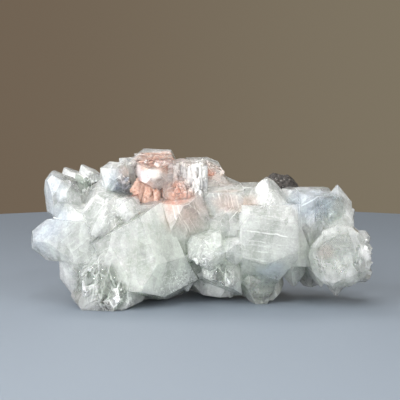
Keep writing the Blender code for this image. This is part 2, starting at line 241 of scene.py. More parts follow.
# %% [markdown]
# Patterns are read from where a point lies on the object, so they stay put from every side. A painted map
# could carry them too, but it would have to be unwrapped over hundreds of facets, and noise has no seams.

# %% Patterns
SOFT_RIM = 0.4  # a place fades over this share of its radius, inside and outside


def place(tree):
    """Where a point is on the object, in metres."""
    return add_node(tree, "TexCoord").outputs["Object"]


def cloud(tree, vector, size, detail=3.0, roughness=0.5):
    """Cloudy noise with patches of about the given size, in millimetres."""
    node = add_node(tree, "TexNoise", {"Vector": vector}, Scale=1 / (size * MM), Detail=detail,
                    Roughness=roughness)
    return node.outputs["Fac"]


def warped(tree, vector, size, amount):
    """The place, moved about by noise, so that patterns and rims run unevenly."""
    shift = add_node(tree, "TexNoise", {"Vector": vector}, Scale=1 / (size * MM), Detail=2.0)
    centred = vector_maths(tree, "SUBTRACT", shift.outputs["Color"], (0.5, 0.5, 0.5))
    return vector_maths(tree, "ADD", vector, vector_maths(tree, "SCALE", centred, amount * MM))


def zones(tree, vector, places, soft=SOFT_RIM):
    """1 inside any of the balls (x, y, z, radius in millimetres) and 0 outside, with soft rims."""
    union = None
    for x, y, z, radius in places:
        away = vector_maths(tree, "DISTANCE", vector, (x * MM, y * MM, z * MM))
        one = ramp(tree, away, radius * (1 - soft) * MM, radius * (1 + soft) * MM, 1.0, 0.0)
        union = one if union is None else maths(tree, "MAXIMUM", union, one)
    return union


# %% [markdown]
# ## Where each look lies
# One crystal is clear, the next milky, one face is frosted by tiny crystals, and iron tints the middle
# peach. Every crystal could be its own object with its own material, but on the real cluster a look fades
# across edges and a crystal holds more than one. So each place is a ball, told by x, y, z and radius in
# millimetres.

# %% Places that are clear, frosted or lined
# Clear as glass: the foot and round end, the blue crystal on the right and some small blocks.
CLEAR = [
    (-33, -21, 9, 6), (-29, -22, 5, 5), (-37, -12, 8, 5), (43, -16, 16, 8), (41, -7, 30, 5),
    (19, -12, 6, 6), (5, -14, 9, 2.5), (-24, -4, 36, 4), (-41, -5, 39, 4),
]
# Frosted by a crust of tiny crystals, mostly along the top and where big crystals meet.
FROSTED = [
    (-45, -8, 36, 2.2), (-34.8, -9, 31.3, 3), (-2, -7, 43, 4), (-3, -19, 14, 2), (19, -7, 37, 2),
    (-26, -22, 3, 3), (39, -4, 37, 2), (-15, -6, 42, 2.2), (-3, -7, 41, 3), (52, -18, 18, 2.5),
    (-40, 1, 38, 3),
]
# Broad faces where the growth lines show as white strokes.
STRIATED = [
    (21, -17.5, 21, 7), (-41, -13, 18, 5), (-27, -14, 31, 5), (-6, -7, 40, 6), (-6, -12, 28, 6),
    (8, -10, 32, 5), (34, -9, 31, 6),
]
print("clear, frosted and lined places:", len(CLEAR), len(FROSTED), len(STRIATED))

# %% Places with a tint
# Flakes of peach, round the stilbite and in the crystals over it.
PEACH = [
    (-15, 2, 45, 6), (-18, -3, 45, 3), (-12, -3, 45, 3), (-20, -4, 35.5, 4.5), (-9, -10, 35, 5),
    (-11, 4, 44, 4), (3, 0, 41, 2),
]
# A faint rose, mostly round the peach.
ROSE = [
    (39, -17.5, 18, 2.5), (-12, -2, 39, 11), (-6, -9, 30, 7), (5, 3, 41, 6), (8, -8, 33, 4),
    (14.4, -8, 32, 3), (-25, -2, 41, 3),
]
# Bluish crystals, mostly at both ends.
BLUE = [
    (-50, -7, 37, 6), (-50, -8, 25, 8), (35, -6, 34, 8), (-28, -3, 39, 4), (22, -16, 10, 5),
]
# A faint green in the big blocks.
GREEN = [
    (-14, -16, 12, 14), (-10, -14, 26, 9), (18, -12, 6, 12), (4, -10, 8, 9), (34, -6, 12, 9),
    (3, -14, 20, 6),
]
# The slate grey crystal left of the stilbite.
SLATE = [
    (-25.5, -4, 37, 2.6), (-22.5, -3, 36.5, 2.6), (-24, -4, 40.5, 1.2),
]
# Patches that are a little greyer, whatever their colour.
SMOKY = [
    (-16, -18, 20, 11), (-26, -18, 16, 8), (-4, -14, 29, 8), (21, -17, 25, 8), (19, -17.5, 15, 6),
    (-47, -14, 23, 7), (-41, -6, 39, 4), (-50, -8, 42, 4), (34, -7, 35, 6), (8, -14, 26, 5),
    (-11, -5, 41, 4), (-52, -12, 24, 5), (41, -17.5, 19, 4), (18.5, -17.5, 17, 4), (-49, -8, 42, 3),
    (7, -9, 32, 3), (21, -17, 27, 8), (35, -9, 25, 5), (20, -17.5, 29, 5), (-4, -7, 42, 5),
    (-16, -19, 22, 6), (-43, -9, 31, 4), (-29, -14, 31, 3),
]
print("tinted places:", sum(map(len, (PEACH, ROSE, BLUE, GREEN, SLATE, SMOKY))))

# %% Places that are dark, broken or ragged
# Gaps and deep windows, where little light comes back. Their shade is painted into the colour as a grey.
PAINTED_SHADE_PLACES = [
    (-32, -21, 10.4, 2.2), (-30, -23, 6, 2.6), (-25, -22, 11, 2), (-39, -14, 6, 2.5), (-25, -4, 37, 4),
    (-28, -4, 36.5, 3), (41, -8, 30, 3.5), (3, 0, 41, 0.8), (41, -8, 34, 3), (12, -10, 8, 3),
    (20, -17, 10, 4), (-39, -4, 38, 1.6), (-35, 0, 40, 1.4), (-43, -6, 41, 1.0),
]
# Glass broken into slanting pieces.
BROKEN = [
    (-33, -21, 9.5, 6.5), (-28, -22, 5, 5), (5, -14, 9, 4), (-38, -2, 38.5, 4.5), (-25, -4, 38.5, 3),
]
# Where the surface is bitten away.
RAGGED = [
    (-28, -22, 3, 6), (-36, -18, 12, 4), (0, -20, 16, 6), (53, -15, 20, 3.5), (44, -18, 15.5, 2.5),
    (44, -14, 6, 3), (-3, -7, 41, 6), (-8, -12, 4, 8), (4, -14, 8, 6), (-28, -14, 28, 4),
    (-15, 1, 47, 5), (3, 3, 44, 5), (20, -13, 34, 3.5),
]
print("dark, broken and ragged places:", len(PAINTED_SHADE_PLACES), len(BROKEN), len(RAGGED))


# %% The same places for a mesh
def share_in(point, places):
    """How far a point, in metres, lies inside the places: the same soft balls as the finishes read."""
    best = 0.0
    for x, y, z, radius in places:
        away = (point - Vector((x * MM, y * MM, z * MM))).length / MM
        step = (radius * (1 + SOFT_RIM) - away) / (2 * SOFT_RIM * radius)
        step = min(max(step, 0.0), 1.0)
        best = max(best, step * step * (3 - 2 * step))
    return best


print("share of clear at the foot:", round(share_in(Vector((-33, -21, 9)) * MM, CLEAR), 2))

# %% [markdown]
# Pure apophyllite has no colour. A trace of other elements makes it faintly green or blue, and iron, which
# colours the stilbite too, stains it rose and, in flakes, peach. The tints go on one over another, and
# smoky places are dimmed.

# %% Tints of the crystals
TINTS = [(GREEN, 0.75, (0.77, 0.815, 0.755)),
         (BLUE, 0.7, (0.77, 0.84, 0.92)),
         (ROSE, 0.75, (0.90, 0.77, 0.71))]
PEACH_STAIN = (0.80, 0.47, 0.37)
SLATE_GREY = (0.40, 0.42, 0.47)
SMOKE = 0.16  # how much light the smoky places lose


def crystal_colour(tree, vector, base):
    """The base colour with the tints that iron and light inclusions give."""
    wavy = warped(tree, vector, 5, 5)
    colour = base
    for places, share, tint in TINTS:
        colour = blend(tree, maths(tree, "MULTIPLY", zones(tree, wavy, places), share), colour, tint)
    flakes = ramp(tree, cloud(tree, vector, 1.3, 6.0, 0.75), 0.28, 0.56)
    colour = blend(tree, maths(tree, "MULTIPLY", zones(tree, wavy, PEACH), flakes), colour, PEACH_STAIN)
    colour = blend(tree, zones(tree, wavy, SLATE), colour, SLATE_GREY)
    return vector_maths(tree, "SCALE", colour, total(tree, 1.0, (zones(tree, wavy, SMOKY), -SMOKE)))


print("tints over the whole look:", len(TINTS), "and then peach and slate")


# %% [markdown]
# ## The clear skin
# The outer few millimetres are glassy. Plain transmission with the mineral's own index bends the light
# there. What clouds it is told by three things that the mesh carries: a tone for each facet, the
# direction in which its growth lines run, and a rim value that is high along chipped edges. The white of a
# rim is partly the frost of the chips and partly a painted highlight. Healed cracks show as thin bright
# lines. All of it could be painted on, but read from the mesh it follows each facet as growth does.

# %% Chips, cracks and broken glass
def splinters(tree, vector, size):
    """Height of little chips of the given size in millimetres, each a plane that tips its own way."""
    cells = add_node(tree, "TexVoronoi", {"Vector": vector}, Scale=1 / (size * MM))
    tip = vector_maths(tree, "SUBTRACT", cells.outputs["Color"], (0.5, 0.5, 0.5))
    scaled = vector_maths(tree, "SCALE", vector, 1 / (size * MM))
    off = vector_maths(tree, "SUBTRACT", scaled, cells.outputs["Position"])
    return vector_maths(tree, "DOT_PRODUCT", off, tip)


def streaks(tree, vector, size, width):
    """Thin wandering lines where cloudy noise crosses its middle value."""
    off_middle = maths(tree, "SUBTRACT", cloud(tree, vector, size, 3.0, 0.55), 0.5)
    return ramp(tree, maths(tree, "ABSOLUTE", off_middle), 0.0, width, 1.0, 0.0)


def shatter(tree, vector, size):
    """Broken glass: the tone of each long slanting piece, and the bright lines between pieces."""
    lean, drawn_out, border = math.radians(40), 0.32, 0.07
    turned = add_node(tree, "Mapping", {"Vector": vector}, vector_type="POINT")
    turned.inputs["Rotation"].default_value = (0.3, lean, 0.0)
    turned.inputs["Scale"].default_value = (1 / (size * MM), 1 / (size * MM), drawn_out / (size * MM))
    piece = add_node(tree, "TexVoronoi", {"Vector": turned.outputs[0]}, Scale=1.0)
    edge = add_node(tree, "TexVoronoi", {"Vector": turned.outputs[0]}, feature="DISTANCE_TO_EDGE",
                    Scale=1.0)
    tone = add_node(tree, "SeparateColor", {"Color": piece.outputs["Color"]}).outputs["Red"]
    return tone, ramp(tree, edge.outputs["Distance"], 0.0, border, 1.0, 0.0)


def carried(tree, name, output="Fac"):
    """What the mesh carries on its faces under the given name."""
    return add_node(tree, "Attribute", attribute_name=name).outputs[output]


# %% Skin finish
# The third colour is painted shade, the grey of shaded gaps and dark windows.
MILK_WHITE, THIN_MILK, PAINTED_SHADE_GREY = (0.93, 0.94, 0.925), (0.66, 0.69, 0.65), (0.45, 0.50, 0.45)
LINE_GAP = 0.9  # millimetres from one growth line to the next


def growth_lines(tree, here):
    """Fine lines that run across a facet in the direction that the mesh carries."""
    across = carried(tree, "across", "Vector")
    along = vector_maths(tree, "DOT_PRODUCT", warped(tree, here, 5, 1.6), across)
    return add_node(tree, "TexNoise", {"W": along}, noise_dimensions="1D", Scale=1 / (LINE_GAP * MM),
                    Detail=3.0, Roughness=0.7).outputs["Fac"]


def glassy(name, scatter):
    """The finish of clear to milky crystal; light wanders about the given millimetres inside the milk."""
    made, tree, shader = new_material(name)
    here = place(tree)
    facet = carried(tree, "facet")
    # The rims come out white below. This is partly the frost of chips and partly a painted highlight along
    # the edges, broken up in places.
    worn = ramp(tree, cloud(tree, here, 4, 4.0), 0.42, 0.60, 0.2, 1.0)
    rim = maths(tree, "MULTIPLY", carried(tree, "rim"), worn)
    lines = growth_lines(tree, here)
    milk = ramp(tree, cloud(tree, here, 6, 6.0, 0.62), 0.36, 0.66)
    fine = ramp(tree, cloud(tree, here, 1.8, 5.0, 0.7), 0.36, 0.64)
    etch = ramp(tree, cloud(tree, here, 0.7, 4.0, 0.65), 0.42, 0.70)
    frost = zones(tree, warped(tree, here, 3, 3), FROSTED)
    clear = zones(tree, warped(tree, here, 4, 3), CLEAR)
    dark = zones(tree, warped(tree, here, 2, 2), PAINTED_SHADE_PLACES)
    ragged = zones(tree, here, RAGGED)

    # White strokes: a few of the growth lines, in patches, and mostly where the faces are lined.
    grown = zones(tree, warped(tree, here, 4, 3), STRIATED)
    patches = ramp(tree, cloud(tree, here, 4, 3.0), 0.40, 0.56)
    strokes = maths(tree, "MULTIPLY", ramp(tree, lines, 0.55, 0.66), patches)
    strokes = maths(tree, "MULTIPLY", strokes, total(tree, 0.15, (grown, 0.85)))

    # Breaks: big and small planes inside, bright cracks, and dark windows in the broken glass. The windows
    # are clearer, and their darkness is painted shade.
    broken = zones(tree, here, BROKEN, 0.25)
    tone, border = shatter(tree, warped(tree, here, 3, 0.8), 2.6)
    plane, _ = shatter(tree, warped(tree, here, 8, 1.5), 5)
    sliver, _ = shatter(tree, warped(tree, here, 3, 1.0), 1.8)
    window = maths(tree, "MULTIPLY", ramp(tree, tone, 0.36, 0.42, 1.0, 0.0), broken)
    hairline = streaks(tree, warped(tree, here, 1.5, 1.0), 2.2, 0.02)
    sharp_crack = maths(tree, "MULTIPLY", hairline, total(tree, 0.2, (ragged, 0.8)))
    crack = maths(tree, "MAXIMUM", sharp_crack, maths(tree, "MULTIPLY", border, broken))

    opening = total(tree, 0.88, (facet, -0.10), (milk, -0.15), (plane, -0.15), (sliver, -0.1),
                    (clear, 0.30), (frost, -0.5), (rim, -0.4), (crack, -0.6), (strokes, -0.35),
                    (etch, -0.1), (window, 0.3))
    tree.links.new(opening, shader.inputs["Transmission Weight"])
    # Painted shade: the shaded gaps lose whiteness here.
    whiteness = total(tree, 0.02, (facet, 0.45), (milk, 0.08), (fine, 0.08), (plane, 0.32), (sliver, 0.14),
                      (lines, 0.2), (frost, 0.6), (rim, 0.75), (crack, 0.9), (strokes, 0.5), (clear, -0.2),
                      (dark, -0.8))
    base = blend(tree, whiteness, THIN_MILK, MILK_WHITE)
    # Painted shade: the shaded gaps and the windows are blended towards a grey.
    shaded = maths(tree, "MAXIMUM", window, maths(tree, "MULTIPLY", dark, 0.6))
    base = blend(tree, shaded, base, PAINTED_SHADE_GREY)
    tree.links.new(crystal_colour(tree, here, base), shader.inputs["Base Color"])
    tree.links.new(total(tree, 0.02, (etch, 0.06), (frost, 0.08), (rim, 0.08)), shader.inputs["Roughness"])

    chips = splinters(tree, warped(tree, here, 1.5, 0.6), 1.1)
    chipped = maths(tree, "MULTIPLY", chips, maths(tree, "MAXIMUM", ragged, frost))
    swells = cloud(tree, here, 2.5, 4.0)
    height = total(tree, 0.3, (lines, 0.40), (swells, 0.15), (etch, 0.08), (chipped, 0.45))
    bump = add_node(tree, "Bump", {"Height": height}, Strength=0.5, Distance=0.4 * MM)
    tree.links.new(bump.outputs["Normal"], shader.inputs["Normal"])
    shader.inputs["IOR"].default_value = 1.535
    shader.inputs["Subsurface Weight"].default_value = 0.9
    shader.inputs["Subsurface Radius"].default_value = (1.0, 1.0, 0.95)
    shader.inputs["Subsurface Scale"].default_value = scatter * MM
    return made


skin_finish = glassy("apophyllite_skin", 8)
small_finish = glassy("apophyllite_small", 0.3)
print("clear finishes:", skin_finish.name, small_finish.name)

# %% [markdown]
# The skin's mesh is the solid's crystals, merged and cleaned of the lines that divide flat faces. Every
# facet gets its tone and its line direction before anything else, because the later steps hand them on to
# new faces. Most tones fall by chance, and some facets are then given theirs by place. These are partly
# the facets' own look and partly painted light: low facets in the shade of overhangs are toned white to
# lift them.

# %% Facets of the skin
merge_within = 0.002 * MM
flat_within = math.radians(0.6)
skin = copy_of(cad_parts["apophyllite_crystals"], "crystal_skin")
finish_with(skin, skin_finish)
edit_all(skin)
bpy.ops.mesh.remove_doubles(threshold=merge_within)
bpy.ops.mesh.dissolve_limited(angle_limit=flat_within)
bpy.ops.object.mode_set(mode="OBJECT")

dice = random.Random(7)
tones = skin.data.attributes.new("facet", "FLOAT", "FACE")
ways = skin.data.attributes.new("across", "FLOAT_VECTOR", "FACE")
faced = skin.data.attributes.new("faced", "FLOAT_VECTOR", "FACE")
for poly in skin.data.polygons:
    faced.data[poly.index].vector = poly.normal
    tones.data[poly.index].value = dice.random()
    corners = [skin.data.vertices[i].co for i in poly.vertices]
    sides = [b - a for a, b in zip(corners, corners[1:] + corners[:1])]
    longest = max(sides, key=lambda side: side.length)
    ways.data[poly.index].vector = poly.normal.cross(longest).normalized()
print("facets:", len(skin.data.polygons))

# %% Facets with a tone of their own
# A point on the facet in millimetres, and its tone from 0, clear, to 1, white. The white tones on low
# facets in shade are painted light.
PLACED_TONES_AND_PAINTED_LIGHT = [
    (-48.4, -8.3, 40.3, 0.5), (-48, -9, 33, 0.9), (-41.9, -5.8, 39.7, 0.3), (-36.3, 1, 38.7, 0.4),
    (-44.9, -14.7, 21.4, 0.6), (-42.9, -10.2, 8.5, 0.9), (-36.9, -17.5, 12.3, 0.5),
    (-30.7, -22.8, 5.6, 0.6), (-38.4, -6.9, 31.5, 1.0), (-26, -13.9, 30.8, 0.8),
    (-24.8, -4.1, 39.9, 0.4), (-16.9, 2, 45.7, 0.6), (-15.1, -6.9, 42.1, 0.9), (-4.9, -7, 39.5, 0.8),
    (5, 0.3, 40.4, 0.3), (6.5, -9.2, 31.8, 0.2), (8, -15.1, 25.3, 0.5), (3.3, -19.9, 18.4, 0.8),
    (4.9, -13.9, 9.1, 1.0), (14.2, -7.3, 33.2, 0.4), (21.1, -17.5, 25, 0.0), (21.2, -18, 14.9, 0.0),
    (18.9, -11.5, 6.4, 0.4), (21.5, -7.1, 36.4, 0.5), (34.2, -8.5, 33.3, 0.6), (40.9, -7.7, 30.7, 0.3),
    (34.5, -9.8, 24.5, 0.3), (33.9, -9.7, 12.6, 0.8), (43.1, -17.7, 16.1, 0.5),
    (-16.4, -18.2, 20.3, 0.0), (-22.7, -18.4, 17.2, 0.0), (-13.3, -20, 7.9, 0.8),
    (-3.9, -14.4, 30.9, 0.0), (-7.1, -13.4, 24.4, 0.0), (-3, -16, 13, 1.0), (18.5, -9, 36.5, 0.2),
]
for x, y, z, tone in PLACED_TONES_AND_PAINTED_LIGHT:
    at = skin.closest_point_on_mesh(Vector((x, y, z)) * MM)[3]
    tones.data[at].value = tone
print("facets toned by place:", len(PLACED_TONES_AND_PAINTED_LIGHT))

# %% [markdown]
# Crystal edges are brittle, so every sharp one is broken away by about a third of a millimetre. A bevel
# does that for all of them at once. A new face inherits what its neighbour carries, so a face that no
# longer looks the way its facet did is part of a rim.

# %% Chipped edges
chip = 0.3 * MM
shortest = 0.8 * MM
sharp_from, sharp_to = math.radians(20), math.radians(150)
same_within = math.radians(6)
pick(skin)
bpy.ops.object.mode_set(mode="EDIT")
bpy.ops.mesh.select_mode(type="EDGE")
bpy.ops.mesh.select_all(action="DESELECT")
mesh = bmesh.from_edit_mesh(skin.data)
chosen = 0
for edge in mesh.edges:
    if len(edge.link_faces) == 2 and edge.calc_length() > shortest:
        if sharp_from < edge.calc_face_angle_signed(0) < sharp_to:
            edge.select = True
            chosen += 1
bmesh.update_edit_mesh(skin.data)
bpy.ops.mesh.bevel(offset=chip, segments=1, clamp_overlap=True)
bpy.ops.mesh.select_all(action="SELECT")
bpy.ops.mesh.quads_convert_to_tris(quad_method="SHORTEST_DIAGONAL")
bpy.ops.object.mode_set(mode="OBJECT")

# A rim's white in the finish is partly chipped frost and partly a painted highlight.
rims = skin.data.attributes.new("rim", "FLOAT", "FACE")
was_facing = skin.data.attributes["faced"].data
for poly in skin.data.polygons:
    same = poly.normal.dot(was_facing[poly.index].vector) > math.cos(same_within)
    rims.data[poly.index].value = 0.0 if same else 1.0
skin.data.attributes.remove(skin.data.attributes["faced"])
block = copy_of(skin, "block")
print("edges chipped:", chosen)


# %% [markdown]
# Long edges are halved until the surface is fine enough to carry relief. A remesh would do it in one
# step, but it would round the edges that make a crystal look like one. Then each corner moves inwards a
# little: in flat terraces on the facets, as growth leaves them, and in deeper bites where the cluster is
# ragged.

# %% Halving and sinking
def halve_long_edges(piece, longest, rounds):
    """Cuts every edge longer than the given length in two, several times over."""
    edit_all(piece)
    bpy.ops.mesh.select_mode(type="EDGE")
    for _ in range(rounds):
        bpy.ops.mesh.select_all(action="DESELECT")
        mesh = bmesh.from_edit_mesh(piece.data)
        for edge in mesh.edges:
            edge.select = edge.calc_length() > longest
        bmesh.update_edit_mesh(piece.data)
        bpy.ops.mesh.subdivide(number_cuts=1, ngon=False)
        bpy.ops.mesh.select_all(action="SELECT")
        bpy.ops.mesh.quads_convert_to_tris(quad_method="SHORTEST_DIAGONAL")
    bpy.ops.object.mode_set(mode="OBJECT")


def sink(piece, depth_at):
    """Moves every corner of the piece inwards by depth_at(point) millimetres."""
    before = [(v.co.copy(), v.normal.copy()) for v in piece.data.vertices]
    for vertex, (point, normal) in zip(piece.data.vertices, before):
        vertex.co = point - normal * depth_at(point) * MM


# %% Growth terraces and bites
terrace_depth, terrace_size, terrace_steps = 0.25, 4.5, 6
bite_depth, bite_size = 0.9, 1.7


def terrace(point, size, steps):
    """Noise cut into level steps, from 0 to 1, with short slopes between them."""
    level = (noise.noise(point / (size * MM)) + 1) / 2 * steps
    whole = math.floor(level)
    return (whole + min((level - whole) * 4, 1.0)) / steps


def skin_relief(point):
    """Terraces on the facets, and bites where the cluster is ragged, in millimetres."""
    bite = max(noise.noise(point / (bite_size * MM)) + 0.1, 0.0)
    return (terrace_depth * terrace(point, terrace_size, terrace_steps)
            + bite_depth * share_in(point, RAGGED) * bite)


halve_long_edges(skin, 1.5 * MM, 4)
sink(skin, skin_relief)
pick(skin)
bpy.ops.object.shade_smooth_by_angle(angle=math.radians(14))
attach(skin, "root")
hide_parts("apophyllite_crystals")
print("skin:", len(skin.data.polygons), "faces")

# %% [markdown]
# ## The milky heart
# Below the skin the crystals run into each other and are full of veils, so they look white. Fog inside
# the skin could show that, but it is slow and shows no planes. So the heart is a mesh: a copy of the
# block, sunk by a few millimetres where the crystal is clear and less where it is frosted, then thinned
# out to flat planes, like the faces that cleavage leaves. Where a crystal is thin, sinking stops halfway
# through it.

# %% Heart finish
heart_finish, tree, shader = new_material("apophyllite_milky")
here = place(tree)
veil = total(tree, 0, (ramp(tree, cloud(tree, here, 3.5, 5.0, 0.65), 0.38, 0.62), 0.5),
             (carried(tree, "facet"), 0.6))
base = blend(tree, veil, (0.94, 0.95, 0.935), (0.72, 0.76, 0.72))
# Painted shade: the heart is greyed in the same shaded gaps.
base = blend(tree, zones(tree, warped(tree, here, 2, 2), PAINTED_SHADE_PLACES), base, (0.42, 0.47, 0.44))
tree.links.new(crystal_colour(tree, here, base), shader.inputs["Base Color"])
tree.links.new(ramp(tree, veil, 0, 1, 0.15, 0.5), shader.inputs["Roughness"])
shader.inputs["Subsurface Weight"].default_value = 1.0
shader.inputs["Subsurface Radius"].default_value = (1.0, 1.0, 0.96)
shader.inputs["Subsurface Scale"].default_value = 9 * MM
print("heart finish:", len(tree.nodes), "nodes")

# %% Depth below the skin
block_corners = [v.co for v in block.data.vertices]
block_tree = BVHTree.FromPolygons(block_corners, [p.vertices for p in block.data.polygons])


def depth_inside(point):
    """How deep a point lies inside the block, in millimetres, negative outside."""
    near, normal, _, away = block_tree.find_nearest(point)
    return -math.copysign(away, (point - near).dot(normal)) / MM


def heart_depth(point):
    """How far below the skin the milk begins: deep in clear places, shallow in frosted ones."""
    waves = 1.2 * (noise.noise(point / (5 * MM)) + 1)
    return 1.3 + waves + 3.0 * share_in(point, CLEAR) - share_in(point, FROSTED)


print("depth at the middle, mm:", round(depth_inside(middle), 1))

# %% Heart
voxel = 0.8 * MM
step_in = 0.4  # millimetres between two looks on the way in
least_depth = 0.8  # millimetres of skin that are left over the heart
kept_share = 0.06  # of the fine mesh, which leaves planes a few millimetres across
tone_cell = 1.5  # millimetres across a patch of one tone


def sunk(point, normal):
    """The point moved inwards as far as it should go, or as long as it still gets deeper."""
    wanted = heart_depth(point)
    gone, deepest = 0.0, -1.0
    while gone < wanted and depth_inside(point - normal * (gone + step_in) * MM) > deepest:
        gone += step_in
        deepest = depth_inside(point - normal * gone * MM)
    return point - normal * gone * MM


heart = copy_of(block, "milky_heart")
shape_with(heart, "REMESH", mode="VOXEL", voxel_size=voxel)
before = [(v.co.copy(), v.normal.copy()) for v in heart.data.vertices]
for vertex, (point, normal) in zip(heart.data.vertices, before):
    vertex.co = sunk(point, normal)
shape_with(heart, "REMESH", mode="VOXEL", voxel_size=voxel)
shape_with(heart, "DECIMATE", ratio=kept_share)
for vertex in heart.data.vertices:
    if depth_inside(vertex.co) < least_depth:
        near, normal, _, _ = block_tree.find_nearest(vertex.co)
        vertex.co = near - normal * least_depth * MM
heart.data.shade_flat()
planes = heart.data.attributes.new("facet", "FLOAT", "FACE")
for poly in heart.data.polygons:
    planes.data[poly.index].value = (noise.cell(poly.center / (tone_cell * MM)) + 1) / 2
finish_with(heart, heart_finish)
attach(heart, "root")
print("heart:", len(heart.data.polygons), "faces")

# %% [markdown]
# ## Cleavage veils
# Apophyllite cleaves easily across its prism, and each inner crack is a thin pearly sheet that flashes
# white. Cracks could be cut into the skin, but one that lies whole inside needs no cut: one ragged sheet
# is modelled and copied to wherever it lies whole below the skin.

# %% Veil finish
veil_finish, tree, shader = new_material("cleavage_veil")
here = place(tree)
pearl = blend(tree, cloud(tree, here, 1.0), (0.95, 0.97, 0.96), (1.0, 1.0, 1.0))
tree.links.new(pearl, shader.inputs["Base Color"])
sheer = ramp(tree, cloud(tree, here, 1.2, 4.0), 0.4, 0.6, 0.2, 0.8)
tree.links.new(sheer, shader.inputs["Transmission Weight"])
tree.links.new(ramp(tree, cloud(tree, here, 0.8), 0.3, 0.7, 0.05, 0.3), shader.inputs["Roughness"])
shader.inputs["IOR"].default_value = 1.6
print("veil finish:", len(tree.nodes), "nodes")

# %% One veil
bpy.ops.mesh.primitive_cylinder_add(vertices=9, radius=1 * MM, depth=0.06 * MM)
sheet = bpy.context.active_object
for vertex in sheet.data.vertices:
    turn = math.atan2(vertex.co.y, vertex.co.x)
    vertex.co.xy *= 1 + 0.28 * math.sin(2 * turn + 1) + 0.2 * math.sin(5 * turn)
finish_with(sheet, veil_finish)
print("veil, mm:", [round(v / MM, 2) for v in sheet.dimensions])

# %% Veils
veil_count, most_tries = 160, 6000
reach = ((-54, 54), (-23, 23), (1, 47))  # where to try, in millimetres along x, y and z
dice = random.Random(12)
sheets = []
tries = 0
while len(sheets) < veil_count and tries < most_tries:
    tries += 1
    at = Vector([dice.uniform(low, high) for low, high in reach]) * MM
    if not 0.9 < depth_inside(at) < 4:
        continue
    size = dice.uniform(1.2, 4.0)
    turned = facing(any_way(dice).normalized())
    put = Matrix.Translation(at) @ turned @ Matrix.Diagonal((size, size * dice.uniform(0.5, 0.9), 1, 1))
    if min(depth_inside(put @ v.co) for v in sheet.data.vertices) < 0.45:
        continue
    one = copy_of(sheet, "veil")
    one.data.transform(put)
    sheets.append(one)
bpy.data.objects.remove(sheet)
veils = join(sheets, "cleavage_veils")
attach(veils, "root")
print("veils:", len(sheets), "in", tries, "tries")

# %% [markdown]
# ## Tiny crystals
# Small later crystals sprinkle the frosted faces. They could be bumps in the skin's finish, but they
# stand out against the light at the edge of the cluster, so they are real shapes. One is modelled with
# its true habit, a square prism whose four corners are cut to a point with a small flat cap, and copied.

# %% One small crystal
bpy.ops.mesh.primitive_cube_add(size=1 * MM)
small = bpy.context.active_object
edit_all(small)
bpy.ops.transform.resize(value=(1, 1, 1.7))
for x in (-1, 1):
    for y in (-1, 1):
        bpy.ops.mesh.select_all(action="SELECT")
        slope = Vector((x * 0.62, y * 0.62, 0.49))
        bpy.ops.mesh.bisect(plane_co=(x * 0.30 * MM, y * 0.30 * MM, 0.60 * MM), plane_no=slope,
                            use_fill=True, clear_outer=True)
bpy.ops.object.mode_set(mode="OBJECT")
small.data.transform(Matrix.Translation((0, 0, -0.35 * MM)))
print("small crystal:", len(small.data.polygons), "faces")

# %% Sprinkle
# Where tiny crystals sit: x, y, z and radius in millimetres, and how many.
SPRINKLED = [
    (-3, -6, 44, 5, 16), (-37, 2, 39, 5, 18), (-41, -1, 37, 4, 8), (52, -14, 20, 4, 9),
    (50, -14, 12, 4, 8), (46, -12, 7, 3, 6), (-27, -3, 42, 5, 12), (-22, 0, 45, 3, 6),
    (-26, -22, 3.5, 3.5, 16), (-2, -20, 14, 3.5, 12), (0, 3, 42, 7, 16), (20, 14, 30, 8, 22),
    (-10, 12, 40, 9, 22), (-40, 8, 20, 8, 18), (45, 6, 24, 7, 14),
]
lowest, highest = 0.3 * MM, cad_high.z - 0.05 * MM
dice = random.Random(13)
crystals = []
for x, y, z, radius, count in SPRINKLED:
    for _ in range(count):
        off = any_way(dice).normalized() * radius * dice.random()
        near, normal, _, _ = block_tree.find_nearest((Vector((x, y, z)) + off) * MM)
        size = dice.uniform(0.45, 1.25)
        turned = facing((normal + 0.55 * any_way(dice)).normalized())
        put = Matrix.Translation(near) @ turned @ Matrix.Rotation(dice.uniform(0, 3), 4, "Z")
        one = copy_of(small, "tiny")
        one.data.transform(put @ Matrix.Scale(size, 4))
        heights = [v.co.z for v in one.data.vertices]
        if min(heights) < lowest or max(heights) > highest:
            bpy.data.objects.remove(one)
            continue
        crystals.append(one)
druse = join(crystals, "tiny_crystals")
finish_with(druse, small_finish)
druse.data.shade_flat()
for name in ("facet", "rim"):
    values = druse.data.attributes.new(name, "FLOAT", "FACE")
    for poly in druse.data.polygons:
        values.data[poly.index].value = dice.random() * 0.6
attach(druse, "root")
print("tiny crystals:", len(crystals))

# %% [markdown]
# The white crystal at the top has grown as a bundle of upright fingers with dark slots between them.
# Stripes in the finish would stay flat, so each finger is the small crystal drawn out tall. A ray from
# the front finds the face of the big crystal, and the finger is set into it so that it stands a little
# proud.

# %% Upright fingers
finger_tries, lost_share = 70, 0.08
white_x, white_z = (-9.5, 1.0), (34.5, 44)  # the front of the white crystal, in millimetres
deepest_y = -2 * MM
dice = random.Random(14)
fingers = []
for _ in range(finger_tries):
    x, z = dice.uniform(*white_x), dice.uniform(*white_z)
    hit, normal, _, _ = block_tree.ray_cast(Vector((x, -30, z)) * MM, Vector((0, 1, 0)))
    if hit is None or hit.y > deepest_y:
        continue
    wide, tall = dice.uniform(0.7, 1.5), dice.uniform(1.2, 3.2)
    outward = Vector((normal.x, normal.y, 0)).normalized()
    turned = facing(outward, "Y", "Z")
    at = hit + outward * dice.uniform(0.05, 0.4) * MM - outward * wide / 2 * MM
    one = copy_of(small, "finger")
    one.data.transform(Matrix.Translation(at) @ turned @ Matrix.Diagonal((wide, wide, tall, 1)))
    fingers.append(one)
bpy.data.objects.remove(small)
bundle = join(fingers, "upright_fingers")
